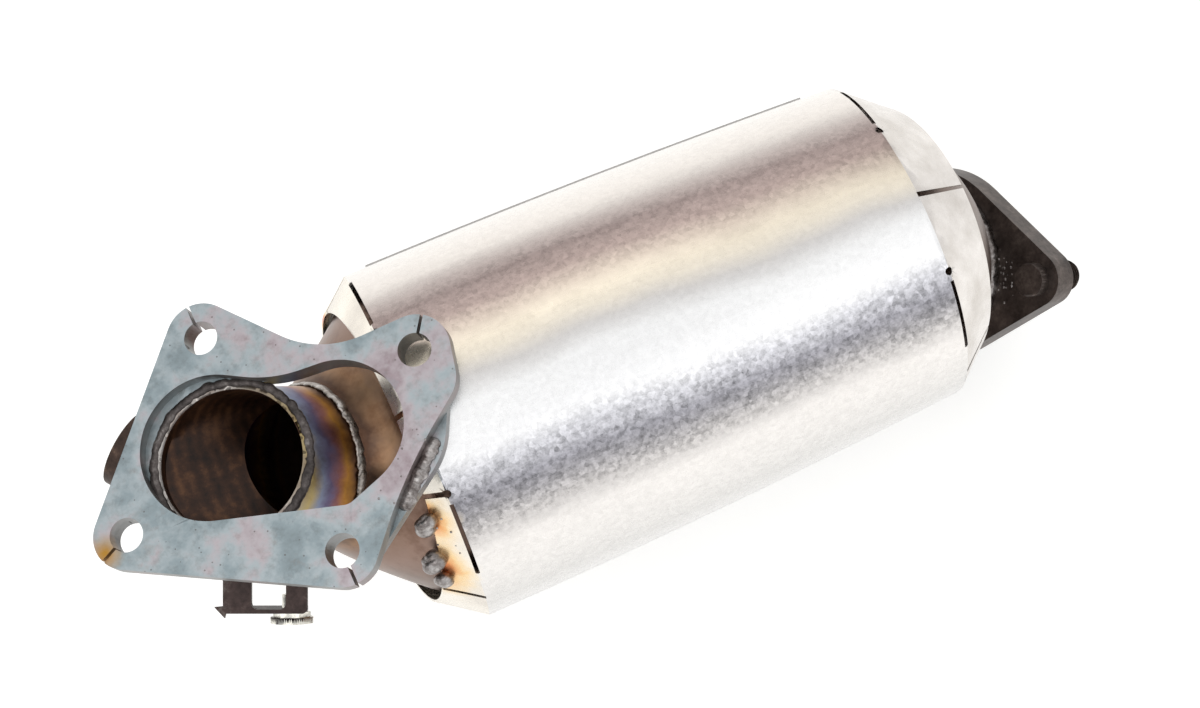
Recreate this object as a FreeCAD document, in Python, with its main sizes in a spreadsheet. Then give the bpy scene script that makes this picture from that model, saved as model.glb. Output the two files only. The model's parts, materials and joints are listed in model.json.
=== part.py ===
# Catalytic converter with a rolled heat shield, an elbow inlet on a four-hole flange
# and an angled outlet on a two-stud flange. Millimetres, +Z up, +X along the can
# towards the outlet. The origin is the centre of the inlet flange's gasket face.
import FreeCAD, Part
import math
import os
import re
import Sketcher

DIMS = (
    # inlet flange: a gasket plate and a backing plate, tilted about Y
    ("flange_tilt", 11), ("plate_thick", 5), ("backing_thick", 4),
    ("ear", 11), ("bolt_hole", 5.25), ("slit_width", 1.0), ("backing_inset", 1.2),
    ("long_pair", 51.3), ("long_clock", 6.5), ("short_pair", 40.6), ("short_clock", 100),
    ("lobe_one_x", -17), ("lobe_one_y", 7), ("lobe_one_r", 22.5),
    ("lobe_two_x", 20), ("lobe_two_y", -5), ("lobe_two_r", 20.8), ("lobe_corner", 5),
    ("flank_hollow", 31), ("waist_hollow", 40), ("edge_hollow", 150),
    ("spur_x", 49), ("spur_y", -3), ("edge_bead_x", 28.6), ("edge_bead_y", -34.6),
    ("edge_bead_clock", 40), ("edge_bead_pitch", 4.4),
    # inlet elbow
    ("tube_r", 24), ("tube_wall", 1.7), ("rim_x", -14), ("rim_y", 2),
    ("elbow_x", 9.5), ("elbow_z", -34), ("elbow_dip", 39), ("bead", 1.9),
    # can, its brick and its mat
    ("axis_drop", 61.5), ("can_start", 40), ("can_length", 168), ("can_r", 52.5),
    ("can_wall", 1.5), ("mat_thick", 4.5), ("brick_length", 118), ("brick_inset", 24),
    # heat shield
    ("shield_start", 42.5), ("shield_length", 172), ("shield_r", 59.8),
    ("shield_bow", 3150), ("sheet", 0.9), ("blanket_gap", 0.8), ("lap_angle", 14),
    ("seam_clock", 6.4), ("relief_shift", 8.6), ("relief_r", 1.3), ("slit_shift", 8.4),
    ("slit_half", 13.5), ("fold_slit", 1.3), ("tab_gap", 1.8), ("lap_clock", -88),
    ("tab_in_x", 30.5), ("tab_in_z", -57.5), ("tab_in_r", 50.3), ("tab_in_dip", 8),
    ("tab_out_x", 226), ("tab_out_z", -67), ("tab_out_r", 45), ("tab_out_dip", 10),
    # cones
    ("cone_in_x", 20.5), ("cone_in_z", -47.5), ("cone_in_r", 36), ("cone_in_dip", 20),
    ("cone_out_x", 224.5), ("cone_out_z", -77), ("cone_out_r", 42), ("cone_out_dip", 18),
    ("collar", 8), ("boot_gap", 1.2),
    # outlet pipe and flange
    ("outlet_x", 237.5), ("outlet_z", -106), ("outlet_dip", 39), ("pipe_r", 25.4),
    ("pipe_wall", 1.6), ("pipe_back", 6), ("pipe_set", 1.5),
    ("outlet_thick", 9), ("outlet_hub", 33.5), ("outlet_ear", 9.5), ("stud_pitch", 43.6),
    ("outlet_clock", 38.6), ("stud_r", 4.9), ("stud_seat_r", 5.2), ("stud_out", 11.5),
    ("stud_head_r", 5.7), ("stud_head", 4), ("fillet_weld", 4),
    # sensor bung
    ("bung_x", -41.6), ("bung_y", 27.1), ("bung_z", -30), ("bung_r", 12.5), ("bung_bore", 8.2),
    ("bung_length", 33), ("bung_clock", 127),
    # bracket under the flange and the screw in its lug
    ("bracket_width", 25.7), ("bracket_sheet", 2.5), ("bracket_reach", 46),
    ("bracket_x", -4), ("bracket_z", -16), ("bracket_clock", 24.4), ("bracket_tilt", 19),
    ("bracket_corner", 1.6), ("window_width", 10.6), ("window_length", 14),
    ("window_shift", 1.1), ("lug_sheet", 1.3), ("lug_width", 23.5), ("lug_depth", 12),
    ("screw_x", 7.3), ("screw_r", 3), ("screw_head_r", 6.6), ("screw_head", 1.9),
    ("nut_flat", 10), ("nut_height", 1.6), ("running_gap", 0.1),
    # tack welds between the shield's tab and the cone
    ("tack_r", 4.3), ("tack_one", 46), ("tack_two", 63), ("tack_three", 74),
    ("notch_width", 4.1),
)

doc = FreeCAD.newDocument("CatalyticConverter")
sheet = doc.addObject("Spreadsheet::Sheet", "Sizes")
for row, (alias, value) in enumerate(DIMS, start=1):
    sheet.set("A%d" % row, alias)
    sheet.set("B%d" % row, str(value))
    sheet.setAlias("B%d" % row, alias)
doc.recompute()

ALIASES = set(alias for alias, value in DIMS)
Y_AXIS = FreeCAD.Vector(0, 1, 0)
Z_AXIS = FreeCAD.Vector(0, 0, 1)
X_AXIS = FreeCAD.Vector(1, 0, 0)


AXIS_Z = "-axis_drop"


def bound(text):
    """A formula with each alias pointed at the sheet."""
    return re.sub(r"[a-z_]+", lambda word: "Sizes." + word.group() if word.group() in ALIASES
                  else word.group(), str(text))


def val(text):
    """The present value of a formula."""
    return float(sheet.evalExpression(bound(text)))


def drive(thing, **formulas):
    """Binds properties of an object to formulas on the sheet."""
    for name, formula in formulas.items():
        thing.setExpression(name, bound(formula))


def place(thing, x=0, y=0, z=0, angle=0, axis=Y_AXIS):
    """Puts an object at a formula-driven place, turned about one axis."""
    thing.Placement = FreeCAD.Placement(FreeCAD.Vector(val(x), val(y), val(z)),
                                        FreeCAD.Rotation(axis, val(angle)))
    for path, formula in (("Base.x", x), ("Base.y", y), ("Base.z", z)):
        thing.setExpression("Placement." + path, bound(formula))
    if str(angle) != "0":
        thing.setExpression("Placement.Rotation.Angle", bound(angle))
    return thing


def solid(kind, name, where, **formulas):
    thing = doc.addObject("Part::" + kind, name)
    drive(thing, **formulas)
    return place(thing, **where)


def ring(name, radius, x, y, z, dip):
    """A section circle whose normal points dip degrees below +X."""
    thing = doc.addObject("Part::Circle", name)
    drive(thing, Radius=radius)
    return place(thing, x, y, z, "90+(%s)" % dip)


def loft(name, sections, ruled=False):
    thing = doc.addObject("Part::Loft", name)
    thing.Sections = sections
    thing.Solid = True
    thing.Ruled = ruled
    return thing


def fuse(name, parts):
    thing = doc.addObject("Part::MultiFuse", name)
    thing.Shapes = parts
    thing.Refine = False
    return thing


def group(name, thing):
    """Holds one thing so that it can be placed a second time, in a turned frame."""
    holder = doc.addObject("Part::Compound", name)
    holder.Links = [thing]
    return holder


def cut(name, base, tool):
    thing = doc.addObject("Part::Cut", name)
    thing.Base = base
    thing.Tool = tool
    thing.Refine = False
    return thing


def common(name, base, tool):
    thing = doc.addObject("Part::Common", name)
    thing.Base = base
    thing.Tool = tool
    thing.Refine = False
    return thing


def tube_loft(name, stations, wall, ruled=False):
    """A thin-walled duct through section circles (radius, x, y, z, dip)."""
    outer = loft(name + "_outside", [ring("%s_o%d" % (name, i), r, x, y, z, dip)
                                     for i, (r, x, y, z, dip) in enumerate(stations)], ruled)
    inner = loft(name + "_inside", [ring("%s_i%d" % (name, i), "(%s)-%s" % (r, wall), x, y, z, dip)
                                    for i, (r, x, y, z, dip) in enumerate(stations)], ruled)
    return cut(name, outer, inner), outer


def along_x(kind, name, x, **formulas):
    """A primitive turned onto the can's axis, starting at x."""
    return solid(kind, name, {"x": x, "z": AXIS_Z, "angle": 90}, **formulas)


def sleeve(name, x, length, outer, inner):
    """A plain tube on the can's axis."""
    return cut(name, along_x("Cylinder", name + "_outside", x, Radius=outer, Height=length),
               along_x("Cylinder", name + "_inside", x, Radius=inner, Height=length))


def new_body(name):
    body = doc.addObject("PartDesign::Body", name)
    return body


def new_sketch(body, name, plane="XY_Plane"):
    sketch = body.newObject("Sketcher::SketchObject", name)
    base = [f for f in body.Origin.OriginFeatures if f.Role == plane][0]
    sketch.AttachmentSupport = [(base, "")]
    sketch.MapMode = "FlatFace"
    return sketch


def fix_point(sketch, geo, pos, x, y):
    """Ties a point to formulas, or to an axis where the formula is zero."""
    for kind, formula, axis in (("DistanceX", x, -2), ("DistanceY", y, -1)):
        if str(formula) == "0":
            sketch.addConstraint(Sketcher.Constraint("PointOnObject", geo, pos, axis))
            continue
        number = sketch.addConstraint(Sketcher.Constraint(kind, -1, 1, geo, pos, val(formula)))
        sketch.setExpression("Constraints[%d]" % number, bound(formula))


def belt(sketch, stations):
    """A closed outline of arcs joined by tangent lines, like a belt round pulleys.

    Each station is (x, y, radius, side): side 1 is an outward corner, -1 a hollow one.
    """
    data = [(val(x), val(y), val(r), side) for x, y, r, side in stations]
    spans = []
    for i, (xa, ya, ra, sa) in enumerate(data):
        xb, yb, rb, sb = data[(i + 1) % len(data)]
        along, off = math.hypot(xb - xa, yb - ya), sb * rb - sa * ra
        turn = math.atan2(yb - ya, xb - xa) - math.asin(off / along)
        nx, ny = -math.sin(turn), math.cos(turn)
        spans.append((xa - nx * sa * ra, ya - ny * sa * ra, xb - nx * sb * rb, yb - ny * sb * rb))
    arcs = []
    for i, (x, y, r, side) in enumerate(data):
        before, after = spans[i - 1], spans[i]
        start = math.atan2(before[3] - y, before[2] - x)
        end = math.atan2(after[1] - y, after[0] - x)
        if side < 0:
            start, end = end, start
        circle = Part.Circle(FreeCAD.Vector(x, y, 0), Z_AXIS, r)
        arcs.append(sketch.addGeometry(Part.ArcOfCircle(circle, start, end)))
    for i, (x0, y0, x1, y1) in enumerate(spans):
        line = sketch.addGeometry(Part.LineSegment(FreeCAD.Vector(x0, y0, 0),
                                                   FreeCAD.Vector(x1, y1, 0)))
        following = (i + 1) % len(data)
        leave = 2 if data[i][3] > 0 else 1
        enter = 1 if data[following][3] > 0 else 2
        sketch.addConstraint(Sketcher.Constraint("Tangent", arcs[i], leave, line, 1))
        sketch.addConstraint(Sketcher.Constraint("Tangent", line, 2, arcs[following], enter))
    for arc, (x, y, r, side) in zip(arcs, stations):
        number = sketch.addConstraint(Sketcher.Constraint("Radius", arc, val(r)))
        sketch.setExpression("Constraints[%d]" % number, bound(r))
        fix_point(sketch, arc, 3, x, y)


def hollow(one, two, radius, slack):
    """Centre of a hollow that just clears two outward corners (x, y, radius)."""
    (xa, ya, ra), (xb, yb, rb) = one, two
    reach_a = "(%s+%s+%s)" % (ra, radius, slack)
    reach_b = "(%s+%s+%s)" % (rb, radius, slack)
    span = "sqrt((%s-(%s))^2+(%s-(%s))^2)" % (xb, xa, yb, ya)
    along = "((%s^2-%s^2+%s^2)/(2*%s))" % (reach_a, reach_b, span, span)
    out = "sqrt(%s^2-%s^2)" % (reach_a, along)
    ux, uy = "((%s-(%s))/%s)" % (xb, xa, span), "((%s-(%s))/%s)" % (yb, ya, span)
    return ("%s+%s*%s+%s*%s" % (xa, along, ux, out, uy),
            "%s+%s*%s-%s*%s" % (ya, along, uy, out, ux))


def hole(sketch, x, y, r):
    circle = sketch.addGeometry(Part.Circle(FreeCAD.Vector(val(x), val(y), 0), Z_AXIS, val(r)))
    number = sketch.addConstraint(Sketcher.Constraint("Radius", circle, val(r)))
    sketch.setExpression("Constraints[%d]" % number, bound(r))
    fix_point(sketch, circle, 3, x, y)


def pad(body, sketch, length, down=False, offset=None):
    feature = body.newObject("PartDesign::Pad", sketch.Name + "_pad")
    feature.Profile = sketch
    feature.Reversed = down
    drive(feature, Length=length)
    sketch.Visibility = False
    return feature


def pierce(body, sketch):
    """Cuts a sketch right through the plate, and makes sure that it cut."""
    doc.recompute()
    before = body.Shape.Volume
    feature = body.newObject("PartDesign::Pocket", sketch.Name + "_cut")
    feature.Profile = sketch
    feature.Type = "ThroughAll"
    feature.Midplane = True
    doc.recompute()
    if not body.Shape.Volume < before:
        raise RuntimeError(sketch.Name + " cut nothing")
    return feature


# ---------------------------------------------------------------- inlet flange
FLANGE = {"angle": "-flange_tilt"}
LONG_X, LONG_Y = "long_pair*cos(long_clock)", "long_pair*sin(long_clock)"
SHORT_X, SHORT_Y = "short_pair*cos(short_clock)", "short_pair*sin(short_clock)"
BOLTS = ((LONG_X, LONG_Y), (SHORT_X, SHORT_Y),
         ("-" + LONG_X, "-" + LONG_Y), ("-" + SHORT_X, "-" + SHORT_Y))
SLIT_CLOCKS = (55, 90, 204, 270)
LOBE_ONE = ("lobe_one_x", "lobe_one_y", "lobe_one_r")
LOBE_TWO = ("lobe_two_x", "lobe_two_y", "lobe_two_r")
WAIST = hollow(LOBE_TWO, LOBE_ONE, "waist_hollow", 0.3)
SPUR = ("spur_x", "spur_y", "ear")
EDGE = hollow(("-" + SHORT_X, "-" + SHORT_Y, "ear"), SPUR, "edge_hollow", 0.3)


def flange_cuts(body, tag):
    """The four bolt holes, each split out to its corner by a saw slit."""
    holes = new_sketch(body, tag + "_holes")
    for x, y in BOLTS:
        hole(holes, x, y, "bolt_hole")
    pierce(body, holes)
    for number, ((x, y), clock) in enumerate(zip(BOLTS, SLIT_CLOCKS), start=1):
        slit = new_sketch(body, "%s_slit_%d" % (tag, number))
        belt(slit, ((x, y, "slit_width/2", 1),
                    ("%s+2*ear*cos(%d)" % (x, clock), "%s+2*ear*sin(%d)" % (y, clock),
                     "slit_width/2", 1)))
        pierce(body, slit)


def inlet_flange():
    """Gasket plate: four ears, one hollow side, and a two-lobed opening."""
    body = new_body("inlet_flange")
    outline = new_sketch(body, "flange_outline")
    belt(outline, ((LONG_X, LONG_Y, "ear", 1),
                   (LONG_X + "-11", LONG_Y + "+ear+flank_hollow+0.5", "flank_hollow", -1),
                   (SHORT_X, SHORT_Y, "ear", 1),
                   ("-" + LONG_X, "-" + LONG_Y, "ear-0.5", 1),
                   ("-" + SHORT_X, "-" + SHORT_Y, "ear", 1), EDGE + ("edge_hollow", -1),
                   SPUR + (1,)))
    pad(body, outline, "plate_thick", down=True)
    opening = new_sketch(body, "flange_opening")
    belt(opening, (LOBE_TWO + (1,), WAIST + ("waist_hollow", -1),
                   LOBE_ONE + (1,), (14.5, -23, "lobe_corner", 1)))
    pierce(body, opening)
    flange_cuts(body, "flange")
    return place(body, **FLANGE)


def inlet_flange_backing():
    """Backing plate: seats the tube and bulges past the gasket plate on one side."""
    body = new_body("inlet_flange_backing")
    outline = new_sketch(body, "backing_outline")
    belt(outline, ((LONG_X, LONG_Y, "ear-backing_inset", 1),
                   (LONG_X + "-11", LONG_Y + "+ear+flank_hollow+0.5", "flank_hollow+1", -1),
                   (SHORT_X, SHORT_Y, "ear-backing_inset", 1),
                   ("-" + LONG_X, "-" + LONG_Y, "ear-backing_inset", 1),
                   ("-" + SHORT_X, "-" + SHORT_Y, "ear-2*backing_inset", 1),
                   (28, -9, 23.5, 1)))
    outline.AttachmentOffset = FreeCAD.Placement(FreeCAD.Vector(0, 0, -val("plate_thick")),
                                                 FreeCAD.Rotation())
    outline.setExpression("AttachmentOffset.Base.z", bound("-plate_thick"))
    pad(body, outline, "backing_thick", down=True)
    opening = new_sketch(body, "backing_opening")
    belt(opening, (("lobe_two_x", "lobe_two_y", "lobe_two_r", 1),
                   WAIST + ("waist_hollow", -1),
                   ("rim_x", "rim_y", "tube_r", 1),
                   (14.5, -23, "lobe_corner", 1)))
    pierce(body, opening)
    flange_cuts(body, "backing")
    return place(body, **FLANGE)


# ------------------------------------------------------------------ inlet side
def under_flange(depth):
    """A point on the elbow rim's axis, a depth below the gasket face."""
    return ("rim_x*cos(flange_tilt)+(%s)*sin(flange_tilt)" % depth, "rim_y",
            "rim_x*sin(flange_tilt)-(%s)*cos(flange_tilt)" % depth)


def at_rim(kind, name, depth, angle, **formulas):
    """A primitive on the elbow rim's axis, turned about Y."""
    x, y, z = under_flange(depth)
    return solid(kind, name, {"x": x, "y": y, "z": z, "angle": angle}, **formulas)


def inlet_elbow():
    """Elbow tube: a straight end in the backing plate's bore, then the bend."""
    stations = (("tube_r",) + under_flange("plate_thick+backing_thick") + ("90-flange_tilt",),
                ("tube_r", "elbow_x", 0, "elbow_z", "elbow_dip"))
    bend, outside = tube_loft("elbow_tube", stations, "tube_wall")
    end = cut("elbow_end",
              at_rim("Cylinder", "elbow_end_outside", "plate_thick+backing_thick",
                     "-flange_tilt", Radius="tube_r", Height="backing_thick"),
              at_rim("Cylinder", "elbow_end_inside", "plate_thick+backing_thick",
                     "-flange_tilt", Radius="tube_r-tube_wall", Height="backing_thick"))
    notch = at_rim("Cylinder", "rim_notch", "plate_thick", "90-flange_tilt",
                   Radius="notch_width/2", Height="2*tube_r")
    return cut("elbow_notched", fuse("elbow_whole", [bend, end]), notch), outside


def inlet_cone():
    """Pressed cone from the elbow's neck out to the can."""
    stations = (("tube_r", "elbow_x", 0, "elbow_z", "elbow_dip"),
                ("cone_in_r", "cone_in_x", 0, "cone_in_z", "cone_in_dip"),
                ("can_r+can_wall", "can_start", 0, AXIS_Z, 0))
    cone, outside = tube_loft("inlet_cone_shell", stations, "can_wall")
    collar = sleeve("inlet_collar", "can_start", "collar", "can_r+can_wall", "can_r")
    return fuse("inlet_cone_collared", [cone, collar]), outside


# -------------------------------------------------------------------- can
CAN_END = "can_start+can_length"


def can_parts():
    """Shell, swelling mat and brick, each seated on the next."""
    brick_x = "can_start+brick_inset"
    bore = "can_r-can_wall"
    shell = sleeve("can_tube", "can_start", "can_length", "can_r", bore)
    mat = sleeve("mat_wrap", brick_x, "brick_length", bore, bore + "-mat_thick")
    brick = along_x("Cylinder", "brick", brick_x, Radius=bore + "-mat_thick",
                    Height="brick_length")
    return shell, mat, brick


# ------------------------------------------------------------------ outlet side
PIPE_X = "outlet_x-%s*cos(outlet_dip)"
PIPE_Z = "outlet_z+%s*sin(outlet_dip)"


def outlet_point(distance):
    """A point on the outlet pipe's axis, a distance short of the flange's back face."""
    back = "(%s)" % distance
    return PIPE_X % back, 0, PIPE_Z % back


def boot_stations(gap="0"):
    """The boot's section circles, from the can to the outlet pipe."""
    return (("can_r+can_wall+" + gap, CAN_END, 0, AXIS_Z, 0),
            ("cone_out_r+" + gap, "cone_out_x", 0, "cone_out_z", "cone_out_dip"),
            ("pipe_r+" + gap,) + outlet_point("pipe_back") + ("outlet_dip",))


def outlet_cone():
    """Pressed boot from the can down to the outlet pipe."""
    boot, outside = tube_loft("outlet_cone_shell", boot_stations(), "can_wall")
    collar = sleeve("outlet_collar", CAN_END + "-collar", "collar", "can_r+can_wall", "can_r")
    return fuse("outlet_cone_collared", [boot, collar])


def boot_space():
    """The boot's outside grown by a gap, to clear the shield round it."""
    return loft("boot_space", [ring("boot_space_%d" % i, *station)
                               for i, station in enumerate(boot_stations("boot_gap"))])


def on_outlet(kind, name, lift, **formulas):
    """A primitive on the outlet pipe's axis, lift beyond the flange's back face."""
    x, y, z = outlet_point("-(%s)" % lift)
    return solid(kind, name, {"x": x, "y": y, "z": z, "angle": "90+outlet_dip"}, **formulas)


def outlet_pipe():
    """Short pipe from the boot into the flange's bore."""
    length = "pipe_back+outlet_thick-pipe_set"
    return cut("outlet_stub", on_outlet("Cylinder", "stub_outside", "-pipe_back",
                                        Radius="pipe_r", Height=length),
               on_outlet("Cylinder", "stub_inside", "-pipe_back",
                         Radius="pipe_r-pipe_wall", Height=length))


EAR_X, EAR_Y = "stud_pitch*cos(outlet_clock)", "stud_pitch*sin(outlet_clock)"


def outlet_flange():
    """Two-ear flange, bored for the pipe and for its pressed studs."""
    body = new_body("outlet_flange")
    outline = new_sketch(body, "outlet_outline")
    belt(outline, ((EAR_X, EAR_Y, "outlet_ear", 1), (0, 0, "outlet_hub", 1),
                   ("-" + EAR_X, "-" + EAR_Y, "outlet_ear", 1), (0, 0, "outlet_hub", 1)))
    pad(body, outline, "outlet_thick")
    holes = new_sketch(body, "outlet_holes")
    hole(holes, 0, 0, "pipe_r")
    hole(holes, EAR_X, EAR_Y, "stud_seat_r")
    hole(holes, "-" + EAR_X, "-" + EAR_Y, "stud_seat_r")
    pierce(body, holes)
    x, y, z = outlet_point("0")
    return place(body, x, y, z, "90+outlet_dip")


def outlet_stud(name, side):
    """Headed stud pressed in from the back of the flange."""
    x, y, z = outlet_point("0")
    body = new_body(name)
    profile = new_sketch(body, name + "_profile", "XZ_Plane")
    reach = "outlet_thick+stud_out"
    outline = (("0", "-stud_head"), ("stud_head_r", "-stud_head"), ("stud_head_r", "0"),
               ("stud_seat_r", "0"), ("stud_seat_r", "outlet_thick"), ("stud_r", "outlet_thick"),
               ("stud_r", reach + "-1"), ("stud_r-1", reach), ("0", reach))
    polygon(profile, outline)
    spin = body.newObject("PartDesign::Revolution", name + "_turned")
    spin.Profile = profile
    spin.ReferenceAxis = (profile, ["V_Axis"])
    spin.Angle = 360
    ux, uy = side + EAR_X, side + EAR_Y
    return place(body, "%s-(%s)*sin(outlet_dip)" % (x, ux), uy,
                 "%s-(%s)*cos(outlet_dip)" % (z, ux), "90+outlet_dip")


def polygon(sketch, points):
    """A closed outline of straight lines through formula-driven points."""
    corners = [FreeCAD.Vector(val(x), val(y), 0) for x, y in points]
    for i, start in enumerate(corners):
        sketch.addGeometry(Part.LineSegment(start, corners[(i + 1) % len(corners)]))
    for i in range(len(corners)):
        sketch.addConstraint(Sketcher.Constraint("Coincident", i, 2, (i + 1) % len(corners), 1))
    for i, (x, y) in enumerate(points):
        fix_point(sketch, i, 1, x, y)


# ------------------------------------------------------------------- heat shield
SHIELD_END = "shield_start+shield_length"
SHIELD_END_R = "(shield_r-shield_bow+sqrt(shield_bow^2-shield_length^2))"


def bowed_roll(name, start, end, radius, thick, sweep=360):
    """A band whose outside follows the shield's bow, turned about the can's axis."""
    body = new_body(name)
    band = new_sketch(body, name + "_band", "XZ_Plane")
    bow = val("shield_bow")
    edges = []
    for inset in ("0", thick):
        centre = "%s-shield_bow-%s" % (radius, inset)
        circle = Part.Circle(FreeCAD.Vector(0, val(centre), 0), Z_AXIS, bow)
        arc = band.addGeometry(Part.ArcOfCircle(circle, math.acos(val(end) / bow),
                                                math.acos(val(start) / bow)))
        edges.append(arc)
        fix_point(band, arc, 3, 0, centre)
        number = band.addConstraint(Sketcher.Constraint("Radius", arc, bow))
        band.setExpression("Constraints[%d]" % number, bound("shield_bow"))
        for point, x in ((1, end), (2, start)):
            if str(x) == "0":
                band.addConstraint(Sketcher.Constraint("PointOnObject", arc, point, -2))
                continue
            number = band.addConstraint(Sketcher.Constraint("DistanceX", -1, 1, arc, point,
                                                            val(x)))
            band.setExpression("Constraints[%d]" % number, bound(x))
    outer, inner = edges
    for end in (1, 2):
        line = band.addGeometry(Part.LineSegment(band.getPoint(outer, end),
                                                 band.getPoint(inner, end)))
        band.addConstraint(Sketcher.Constraint("Coincident", line, 1, outer, end))
        band.addConstraint(Sketcher.Constraint("Coincident", line, 2, inner, end))
    roll = body.newObject("PartDesign::Revolution", name + "_rolled")
    roll.Profile = band
    roll.ReferenceAxis = (band, ["H_Axis"])
    drive(roll, Angle=sweep)
    return body


TABS = 5


def tab_cutters(tag, rim, tab_from, tab_to):
    """Seams, fold slits and relief holes that part one end of the shield into tabs.

    Clock positions run from straight up towards the -Y side.
    """
    slices, holes = [], []
    reach, pitch = "2*shield_r", 360 / TABS
    for tab in range(TABS):
        seam = "seam_clock+%g" % (tab * pitch)
        centre = "%s+%g" % (seam, pitch / 2)
        side = "+" if tab <= TABS // 2 else "-"
        gap = doc.addObject("Part::Cylinder", "%s_seam_%d" % (tag, tab))
        drive(gap, Radius=reach, Height="%s-(%s)" % (tab_to, tab_from), Angle="tab_gap")
        slices.append(place(gap, 0, 0, "%s-(%s)" % (tab_from, rim),
                            "180+%s-tab_gap/2" % seam, Z_AXIS))
        slit = doc.addObject("Part::Cylinder", "%s_slit_%d" % (tag, tab))
        drive(slit, Radius=reach, Height="fold_slit", Angle="2*slit_half")
        slices.append(place(slit, 0, 0, "-fold_slit/2",
                            "180+%s%sslit_shift-slit_half" % (centre, side), Z_AXIS))
        drill = doc.addObject("Part::Cylinder", "%s_relief_%d" % (tag, tab))
        drive(drill, Radius="relief_r", Height=reach)
        back = "-" if side == "+" else "+"
        holes.append(place(drill, rim, 0, AXIS_Z, "%s%srelief_shift" % (centre, back), X_AXIS))
    pies = place(fuse(tag + "_pies", slices), rim, 0, AXIS_Z, 90)
    return [pies] + holes


def heat_shield():
    """Rolled sheet, lapped along one side, its ends parted into tabs and folded in."""
    roll = place(bowed_roll("shield_roll", 0, "shield_length", "shield_r", "sheet"),
                 "shield_start", 0, AXIS_Z)
    lap = place(bowed_roll("shield_lap", "collar", "shield_length-collar", "shield_r+sheet",
                           "sheet", "lap_angle"),
                "shield_start", 0, AXIS_Z, "lap_clock", X_AXIS)
    tabs_in, tabs_in_outside = tube_loft("tabs_in", (
        ("tab_in_r", "tab_in_x", 0, "tab_in_z", "tab_in_dip"),
        ("shield_r", "shield_start", 0, AXIS_Z, 0)), "sheet", True)
    tabs_out, dummy = tube_loft("tabs_out", (
        (SHIELD_END_R, SHIELD_END, 0, AXIS_Z, 0),
        ("tab_out_r", "tab_out_x", 0, "tab_out_z", "tab_out_dip")), "sheet", True)
    fold = "3*collar"
    cutters = tab_cutters("inlet_end", "shield_start", "shield_start-" + fold, "shield_start")
    cutters += tab_cutters("outlet_end", SHIELD_END, SHIELD_END, SHIELD_END + "+" + fold)
    keyhole = doc.addObject("Part::Cylinder", "keyhole")
    drive(keyhole, Radius="2*shield_r", Height=fold, Angle="tab_gap")
    place(keyhole, 0, 0, 0, "180+seam_clock+%g-relief_shift-tab_gap/2" % (180 / TABS), Z_AXIS)
    cutters.append(place(group("keyhole_slot", keyhole), "shield_start-" + fold, 0, AXIS_Z, 90))
    space, tools = boot_space(), fuse("shield_cutters", cutters)
    pieces = [cut("roll_clear", fuse("roll_lapped", [roll, lap]), space), tabs_in,
              cut("tabs_out_clear", tabs_out, space)]
    parted = [cut("shield_parted_%d" % i, piece, tools) for i, piece in enumerate(pieces)]
    return fuse("shield_trimmed", parted), tabs_in_outside


def insulation():
    """Blanket between the can and its shield, clear of both cone collars."""
    start, end = "can_start+collar+3", CAN_END + "-collar-3"
    roll = bowed_roll("blanket_roll", "%s-shield_start" % start, "%s-(shield_start)" % end,
                      "shield_r-sheet-blanket_gap", "shield_r/4")
    place(roll, "shield_start", 0, AXIS_Z)
    core = along_x("Cylinder", "blanket_core", "shield_start", Radius="can_r",
                   Height="shield_length")
    return cut("blanket", roll, core)


# ------------------------------------------------------------------------- welds
def fillet_ring(name, x, length, r_start, r_end):
    """A plain fillet weld round the can."""
    cone = along_x("Cone", name + "_bead", x, Radius1=r_start, Radius2=r_end, Height=length)
    core = along_x("Cylinder", name + "_core", x, Radius="can_r", Height=length)
    return cut(name + "_ring", cone, core)


def elbow_ring_weld(elbow_outside, cone_outside):
    """Proud, rounded bead round the joint of the elbow and the cone's neck."""
    bead = elbow_joint_cylinder("elbow_bead", "tube_r+bead", "1.2*bead")
    return cut("elbow_bead_seated", cut("elbow_bead_on_tube", bead, elbow_outside),
               cone_outside)


def elbow_joint_cylinder(name, radius, half):
    """A rounded disc centred on the elbow's joint and square to its bend."""
    blank = doc.addObject("Part::Cylinder", name + "_blank")
    drive(blank, Radius=radius, Height="2*(%s)" % half)
    place(blank, 0, 0, "-(%s)" % half)
    doc.recompute()
    rims = [number for number, edge in enumerate(blank.Shape.Edges, start=1)
            if edge.Closed and edge.BoundBox.ZLength < 1e-6]
    rounded = doc.addObject("Part::Fillet", name)
    rounded.Base = blank
    rounded.Edges = [(number, val("bead") * 0.8, val("bead") * 0.8) for number in rims]
    return place(rounded, "elbow_x", 0, "elbow_z", "90+elbow_dip")


def elbow_rim_weld(flange):
    """Bead over the joint of the elbow's rim and the backing plate, in the opening."""
    bead = at_rim("Torus", "rim_bead", "plate_thick", "-flange_tilt",
                  Radius1="tube_r-0.2", Radius2="bead")
    above = at_rim("Cylinder", "rim_bead_space", "plate_thick", "-flange_tilt",
                   Radius="2*tube_r", Height="2*bead")
    return cut("rim_bead_seated", common("rim_bead_above", bead, above), flange)


def flange_edge_weld(flange, backing):
    """Run of beads along the gasket plate's edge, on the backing plate's bulge."""
    beads = []
    for number in range(6):
        ball = doc.addObject("Part::Sphere", "edge_bead_%d" % number)
        drive(ball, Radius="bead+0.8")
        along = "%d*edge_bead_pitch" % number
        beads.append(place(ball, "edge_bead_x+%s*cos(edge_bead_clock)" % along,
                           "edge_bead_y+%s*sin(edge_bead_clock)" % along, "-plate_thick"))
    run = fuse("edge_beads", beads)
    place(run, **FLANGE)
    return cut("edge_beads_seated", run, fuse("plates", [flange, backing]))


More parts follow.
